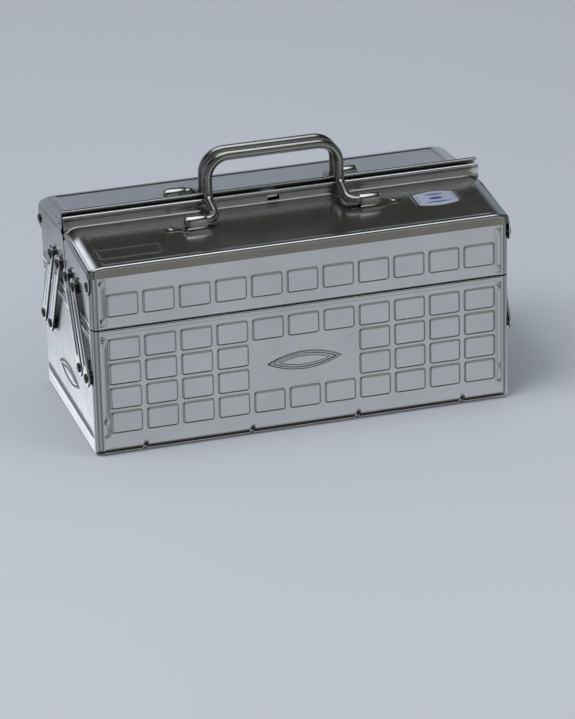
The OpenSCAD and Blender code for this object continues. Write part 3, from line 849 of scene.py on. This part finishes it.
def bracket():
    """Strap pressed over the rod, with a foot in front and behind and a riveted tongue."""
    rod_r, thick = 4.0, 1.15
    r = rod_r + 0.1 + thick
    floor = bracket_floor()
    foot = floor + 1.1
    fillet = 0.9
    points, normals = section([
        straight(0, foot, np.array([-10.2, -r - fillet]), (0, 1)),
        (arc((-r - fillet, foot + fillet), fillet, -90, 0, 4)[0],
         -arc((-r - fillet, foot + fillet), fillet, -90, 0, 4)[1]),
        arc((0, 0), r, 180, 0, 20),
        (arc((r + fillet, foot + fillet), fillet, 180, 270, 4)[0],
         -arc((r + fillet, foot + fillet), fillet, 180, 270, 4)[1]),
        straight(0, foot, np.array([r + fillet, 9.6]), (0, 1))])
    xs = np.array([64.3, 64.9, 72, 80.4, 81.0])
    lift = np.array([-0.25, 0, 0, 0, -0.25])
    strap = swept(points, normals, xs, lambda grid, out: np.broadcast_to(lift, grid.shape[:2]))
    outline = [(79.5, -10.2), (83.5, -10.2), (89.5, -6.9)]
    outline += [(94.0 + 6.9 * math.cos(a), 6.9 * math.sin(a)) for a in np.radians(np.linspace(-80, 80, 13))]
    outline += [(89.5, 6.9), (83.5, 9.6), (79.5, 9.6)]
    outline = np.array(outline)
    middle = np.array([88.0, 0.0])
    rings = []
    for z, inset in ((floor + 0.02, 0), (foot - 0.35, 0), (foot - 0.1, 0.12), (foot, 0.4)):
        ring = middle + (outline - middle) * (1 - inset / 9)
        rings.append(np.column_stack([ring, np.full(len(ring), z)]))
    return sheet([strap], thick), rings_to_part(rings)


def make_brackets(side):
    strap, tongue = bracket()
    half = join(strap, tongue)
    half = (on_lid(half[0]), half[1])
    build(f"{side}_brackets_pressed", *join(half, flipped(half)), NICKEL,
          f"{side}_lid", [f"{side}_lid_brackets"], "bracket_steel", mirrored=side == "rear")
    profile = [(0, 0), (0, 3.1), *dome(0.15, 1.1, 3.1)]
    verts, faces = lathe(profile, (0, 0), 24)
    verts = np.column_stack([93.7 - verts[:, 2], verts[:, 1], verts[:, 0] + bracket_floor() + 1.0])
    rivet_part = (on_lid(verts), faces)
    build(f"{side}_bracket_rivet_heads", *join(rivet_part, flipped(rivet_part)), NICKEL,
          f"{side}_lid", [f"{side}_bracket_rivets"], "rivet_steel", mirrored=side == "rear")


def label_foil():
    """Silver-blue foil with a darker blue line inside its edge and a plain blue emblem of bars."""
    return metal("label_foil", (0.50, 0.57, 0.70), (0.58, 0.64, 0.76), (0.30, 0.42),
                 wave=0.05, scratch=0.02, metallic=0.55)


def label_ink():
    return metal("label_ink", (0.035, 0.05, 0.22), (0.06, 0.08, 0.30), (0.35, 0.5), wave=0.02, scratch=0.01,
                 metallic=0.2)


def barrel(w, h, bulge, steps=10):
    """Outline with straight sides and bowed top and bottom."""
    u = np.linspace(-w / 2, w / 2, steps + 1)
    v = h / 2 - bulge * (2 * u / w) ** 2
    return np.concatenate([np.stack([u, v], 1), np.stack([u, -v], 1)[::-1]])


def plate_on_lid(outline, low, high):
    """Thin plate with that outline about the label's centre, between two heights above the panel."""
    rings = []
    for z, shrink in ((low, 1), (high - 0.05, 1), (high, 0.985)):
        flat = outline * shrink + LABEL_AT
        rings.append(np.column_stack([flat, lid_z(flat[:, 1]) - 0.4 + z]))
    verts, faces = rings_to_part(rings)
    return verts, [tuple(reversed(face)) for face in faces]


def make_label():
    build("front_label_foil", *plate_on_lid(barrel(LABEL_W, LABEL_H, 3.4), 0.02, 0.3), label_foil(),
          "front_lid", ["front_label"], "label")
    ink = []
    for side in (-1, 1):
        for v in np.linspace(-5.4, 5.4, 4):
            ink.append(plate_on_lid(barrel(0.5, 2.2, 0) + [side * (LABEL_W / 2 - 1.7), v], 0.25, 0.36))
    for v, w, h in ((7.3, 15, 2.2), (0.2, 11, 4.4), (-6.6, 21, 1.9)):
        ink.append(plate_on_lid(barrel(w, h, h * 0.3) + [0, v], 0.25, 0.36))
    build("front_label_print", *join(*ink), label_ink(), "front_lid", [], "label")


# ---- Handles ----

def bent(corners, radii, step_deg=7.5):
    """Centreline through corners, each rounded to its radius."""
    path = [np.array(corners[0], float)]
    for before, at, after, r in zip(corners, corners[1:], corners[2:], radii):
        before, at, after = (np.array(p, float) for p in (before, at, after))
        into, away = at - before, after - at
        into /= np.linalg.norm(into)
        away /= np.linalg.norm(away)
        turn = math.acos(np.clip(into @ away, -1, 1))
        start = at - into * r * math.tan(turn / 2)
        side = away - into * (into @ away)
        side /= np.linalg.norm(side)
        steps = max(2, math.ceil(math.degrees(turn) / step_deg))
        for k in range(steps + 1):
            a = turn * k / steps
            path.append(start + into * r * math.sin(a) + side * r * (1 - math.cos(a)))
    path.append(np.array(corners[-1], float))
    return np.array(path)


def tube(path, r, sides=24):
    """Round bar along a path, with its ends eased over."""
    tangents = np.gradient(path, axis=0)
    tangents /= np.linalg.norm(tangents, axis=1, keepdims=True)
    across = np.cross(tangents[0], [0, 1, 0])
    across /= np.linalg.norm(across)
    rings = []
    angles = np.linspace(0, 2 * math.pi, sides, endpoint=False)
    last = len(path) - 1
    for i, (point, tangent) in enumerate(zip(path, tangents)):
        across = across - tangent * (across @ tangent)
        across /= np.linalg.norm(across)
        upward = np.cross(tangent, across)
        circle = np.cos(angles)[:, None] * across + np.sin(angles)[:, None] * upward
        if i == 0:
            rings.append(point + circle * r * 0.8)
            rings.append(point + tangent * 0.5 + circle * r)
        elif i == last:
            rings.append(point - tangent * 0.5 + circle * r)
            rings.append(point + circle * r * 0.8)
        else:
            rings.append(point + circle * r)
    return rings_to_part(rings)


def make_handle(side):
    rod_r, leg_x, grip_y, grip_z = 4.0, 55.5, -6.5, 214.0
    elbow_z = TAIL[1] + (grip_y - TAIL[0]) * math.tan(math.radians(19.4))
    end_x = node_box("front_handle")[1][0]
    half = [(end_x, TAIL[0], TAIL[1]), (leg_x, TAIL[0], TAIL[1]),
            (leg_x, grip_y, elbow_z), (leg_x, grip_y, grip_z)]
    corners = half + [(-x, y, z) for x, y, z in reversed(half)]
    path = bent(corners, [8, 10, 18, 18, 10, 8])
    build(f"{side}_handle_rod", *tube(path, rod_r), ROD, f"{side}_handle", [f"{side}_handle"], "handle_rod",
          mirrored=side == "rear")


# ---- Arms, rivets and washers ----

def arm(low, high):
    """Arm on the right end between two pivots: rounded plate with a pressed rib."""
    length = math.dist(low, high)
    along = (high - low) / length
    across = np.array([along[1], -along[0]])
    inner_x = node_box("front_outer_arm_right")[0][0]
    width, thick = 15.0, 1.5
    rings = []
    for half_w, x in ((width / 2 - 0.25, 0), (width / 2, 0.25),
                      (width / 2, thick - 0.3), (width / 2 - 0.3, thick)):
        outline = stadium(length, half_w)
        rings.append(np.column_stack([np.full(len(outline), inner_x + x), outline]))
    for half_w, x in ((3.4, thick), (3.0, thick + 0.12), (2.6, thick + 0.45),
                      (2.1, thick + 0.72), (1.3, thick + 0.85)):
        outline = stadium(length - 24, half_w) + [0, 12]
        rings.append(np.column_stack([np.full(len(outline), inner_x + x), outline]))
    verts, faces = rings_to_part(rings)
    placed = low + verts[:, 1:2] * across + verts[:, 2:3] * along
    return np.column_stack([verts[:, 0], placed]), faces


def make_arms(side):
    for kind, low in (("outer", ARM_LOW), ("inner", INNER_LOW)):
        high = ARM_TOP + (low - ARM_LOW)
        part = arm(low, high)
        for end, shape in (("right", part), ("left", flipped(part))):
            node = f"{side}_{kind}_arm_{end}"
            build(f"{node}_pressed", *shape, PLATED, f"{side}_{kind}_arms", [node], "arm_steel",
                  mirrored=side == "rear")


def rivet(centre, grip, r_head=4.0, r_shank=2.5, back=4.0, reach=SHEET):
    """Rivet through a right end wall: upset back, shank and domed head."""
    x = HALF_L
    profile = [(x - reach - 0.8, 0), (x - reach - 0.8, back - 0.3),
               (x - reach - 0.55, back), (x - reach, back),
               (x - reach, r_shank), (x + grip, r_shank), (x + grip, r_head), (x + grip + 0.35, r_head)]
    profile += dome(x + grip + 0.35, x + grip + 1.3, r_head - 0.02)[1:]
    return lathe(profile, centre)


def washer(centre):
    x = HALF_L + 0.02
    rings = [(x, 2.6), (x, 5.2), (x + 0.25, 5.5), (x + 1.2, 5.5), (x + 1.45, 5.2), (x + 1.45, 2.6)]
    return lathe([*rings, rings[0]], centre)


def both_ends(parts):
    return join(*parts, *[flipped(part) for part in parts])


def make_rivets():
    grip = 1.5 + 1.5 + 0.6
    front_low = [ARM_LOW, INNER_LOW]
    body_at = front_low + [p * [-1, 1] for p in front_low]
    for end, turn in (("right", lambda part: part), ("left", flipped)):
        rivets = join(*[turn(rivet(p, grip)) for p in body_at])
        washers = join(*[turn(washer(p)) for p in body_at])
        build(f"body_rivet_set_{end}", *rivets, RIVET, "base", [f"body_rivets_{end}"], "rivet_steel")
        build(f"body_washer_set_{end}", *washers, RIVET, "base", [f"body_washers_{end}"], "rivet_steel")
    tray_at = [ARM_TOP, ARM_TOP + (INNER_LOW - ARM_LOW)]
    for side in ("front", "rear"):
        mirrored = side == "rear"
        build(f"{side}_tray_rivet_set", *both_ends([rivet(p, grip) for p in tray_at]), RIVET, f"{side}_tray",
              [f"{side}_tray_rivets"], "rivet_steel", mirrored=mirrored)
        build(f"{side}_tray_washer_set", *both_ends([washer(p) for p in tray_at]), RIVET, f"{side}_tray",
              [f"{side}_tray_washers"], "rivet_steel", mirrored=mirrored)
        pin = rivet(LID_PIVOT, SHEET + 0.6, r_shank=2.0, back=2.8, reach=2.8)
        build(f"{side}_lid_pivot_set", *both_ends([pin]), RIVET, f"{side}_tray", [f"{side}_lid_pivots"],
              "rivet_steel", mirrored=mirrored)


make_body_wrap()
make_body_ends()
make_rivets()
for side in ("front", "rear"):
    make_tray_wrap(side)
    make_tray_ends(side)
    make_dividers(side)
    make_arms(side)
    make_brackets(side)
    make_handle(side)
make_label()
make_lid("front", 5.2, front_ridge, HOLE_Z)
make_lid("rear", 2.0, rear_ridge, HOLE_Z)

# ---- Studio ----

def make_camera():
    yaw, pitch, roll = math.radians(16.153), math.radians(23.723), math.radians(-1.457)
    data = bpy.data.cameras.new("camera")
    data.sensor_width = 36.0
    data.lens = 207.0
    data.clip_start, data.clip_end = 0.1, 60
    camera = bpy.data.objects.new("camera", data)
    turn = (Matrix.Rotation(-yaw, 4, "Z") @ Matrix.Rotation(math.pi / 2 - pitch, 4, "X")
            @ Matrix.Rotation(roll, 4, "Z"))
    camera.matrix_world = Matrix.Translation((-0.86174, -3.00948, 1.40132)) @ turn
    bpy.context.scene.collection.objects.link(camera)
    bpy.context.scene.camera = camera


def make_floor():
    mesh = bpy.data.meshes.new("floor")
    s = 12.0
    mesh.from_pydata([(-s, -s, 0), (s, -s, 0), (s, s, 0), (-s, s, 0)], [], [(0, 1, 2, 3)])
    material = bpy.data.materials.new("floor_paper")
    tree, shader = nodes_of(material)
    shader.inputs["Roughness"].default_value = 0.6
    tree.links.new(ramp(tree, noise(tree, 1.2, 2), [(0.3, (0.50, 0.53, 0.575)), (0.7, (0.53, 0.56, 0.605))]),
                   shader.inputs["Base Color"])
    mesh.materials.append(material)
    floor = bpy.data.objects.new("floor", mesh)
    bpy.context.scene.collection.objects.link(floor)
    floor.visible_glossy = False


# Pale cards and dark gaps round the box: bearing from +X in degrees, and brightness
SIDE, GAP = 0.66, 0.18
CARDS = [(-168, SIDE), (-164, GAP), (-153, GAP), (-149, SIDE), (-113, SIDE), (-108, GAP), (-97, GAP),
         (-90, 1.0), (-58, 1.0), (-50, SIDE), (-37, SIDE), (-33, GAP), (-20, GAP), (-16, SIDE),
         (14, SIDE), (18, GAP), (29, GAP), (33, SIDE), (58, SIDE), (64, 1.0), (118, 1.0),
         (124, SIDE), (148, SIDE), (152, GAP), (163, GAP), (167, SIDE)]


def make_world():
    """Studio surroundings: a pale backdrop for the camera, and soft panels that the steel mirrors.

    The steel sees pale cards all round with narrow dark gaps between them, which draw the
    edges of its pressed shapes, a bright card low behind and a darker ceiling with a soft light."""
    world = bpy.data.worlds.new("studio")
    bpy.context.scene.world = world
    world.use_nodes = True
    tree = world.node_tree
    tree.nodes.clear()
    out = tree.nodes.new("ShaderNodeOutputWorld")
    coord = tree.nodes.new("ShaderNodeTexCoord")
    split = tree.nodes.new("ShaderNodeSeparateXYZ")
    tree.links.new(coord.outputs["Generated"], split.inputs["Vector"])
    across, depth, height = (split.outputs[axis] for axis in "XYZ")

    def mixed(fac, low, high):
        node = tree.nodes.new("ShaderNodeMix")
        node.data_type = "RGBA"
        tree.links.new(fac, node.inputs["Factor"])
        tree.links.new(low, node.inputs[6])
        tree.links.new(high, node.inputs[7])
        return node.outputs[2]

    def blended(kind, low, high):
        node = tree.nodes.new("ShaderNodeMix")
        node.data_type = "RGBA"
        node.blend_type = kind
        node.inputs["Factor"].default_value = 1.0
        tree.links.new(low, node.inputs[6])
        tree.links.new(high, node.inputs[7])
        return node.outputs[2]

    level = remap(tree, height, -1, 1, 0, 1)
    ceiling = [(0.93, (0.07, 0.07, 0.06)), (0.955, (1.5, 1.57, 1.7))]
    front = ramp(tree, level, [
        (0.04, (0.05, 0.05, 0.04)), (0.09, (0.12, 0.12, 0.10)), (0.15, (0.50, 0.53, 0.56)),
        (0.24, (0.58, 0.61, 0.64)),
        (0.36, (0.54, 0.58, 0.61)), (0.44, (0.36, 0.37, 0.36)), (0.49, (0.20, 0.20, 0.175)),
        (0.55, (0.20, 0.20, 0.175)), (0.60, (0.36, 0.37, 0.37)), (0.70, (0.30, 0.31, 0.31)),
        (0.76, (0.10, 0.10, 0.085)), *ceiling])
    back = ramp(tree, level, [
        (0.04, (0.05, 0.05, 0.04)), (0.09, (0.10, 0.10, 0.09)), (0.15, (0.60, 0.64, 0.69)),
        (0.25, (1.15, 1.21, 1.28)),
        (0.297, (1.15, 1.21, 1.28)), (0.312, (0.26, 0.29, 0.33)), (0.42, (0.26, 0.29, 0.33)),
        (0.52, (0.42, 0.47, 0.54)), (0.655, (0.34, 0.38, 0.44)),
        (0.69, (0.040, 0.041, 0.034)), *ceiling])
    turn = tree.nodes.new("ShaderNodeMath")
    turn.operation = "ARCTAN2"
    tree.links.new(depth, turn.inputs[0])
    tree.links.new(across, turn.inputs[1])
    bearing = remap(tree, turn.outputs["Value"], -math.pi, math.pi, 0, 1)
    cards = ramp(tree, bearing, [((degrees + 180) / 360, (gain,) * 3) for degrees, gain in CARDS])
    window = ramp(tree, remap(tree, across, -1, 1, 0, 1), [
        (0.38, (0, 0, 0)), (0.42, (1, 1, 1)), (0.46, (1, 1, 1)), (0.51, (0, 0, 0))])
    window_band = ramp(tree, level, [
        (0.69, (0, 0, 0)), (0.71, (1.5, 1.6, 1.75)), (0.79, (1.5, 1.6, 1.75)), (0.82, (0, 0, 0))])
    lit = mixed(window, back, blended("ADD", back, window_band))
    behind = remap(tree, depth, -0.15, 0.15, 0, 1)
    around = mixed(behind, front, lit)
    overhead = remap(tree, level, 0.90, 0.94, 0, 1)
    pale = mixed(overhead, blended("MULTIPLY", around, cards), around)
    shade = tree.nodes.new("ShaderNodeBackground")
    tree.links.new(pale, shade.inputs["Color"])
    plain = tree.nodes.new("ShaderNodeBackground")
    plain.inputs["Color"].default_value = (0.56, 0.61, 0.68, 1)
    soft = tree.nodes.new("ShaderNodeBackground")
    soft.inputs["Color"].default_value = (0.30, 0.32, 0.35, 1)
    path = tree.nodes.new("ShaderNodeLightPath")
    shader = shade.outputs["Background"]
    for rays, other in (("Is Camera Ray", plain), ("Is Diffuse Ray", soft)):
        mix = tree.nodes.new("ShaderNodeMixShader")
        tree.links.new(path.outputs[rays], mix.inputs["Fac"])
        tree.links.new(shader, mix.inputs[1])
        tree.links.new(other.outputs["Background"], mix.inputs[2])
        shader = mix.outputs["Shader"]
    tree.links.new(shader, out.inputs["Surface"])


def make_light(name, at, size, energy):
    data = bpy.data.lights.new(name, "AREA")
    data.size = size
    data.energy = energy
    light = bpy.data.objects.new(name, data)
    light.location = at
    light.rotation_euler = (-Vector(at)).to_track_quat("-Z", "Y").to_euler()
    light.visible_glossy = False
    bpy.context.scene.collection.objects.link(light)


make_camera()
make_floor()
make_world()
make_light("key", (-1.5, -0.6, 3.0), 2.0, 74)
make_light("fill", (2.2, -1.8, 2.2), 2.4, 24)
bpy.context.scene.view_settings.view_transform = "Standard"
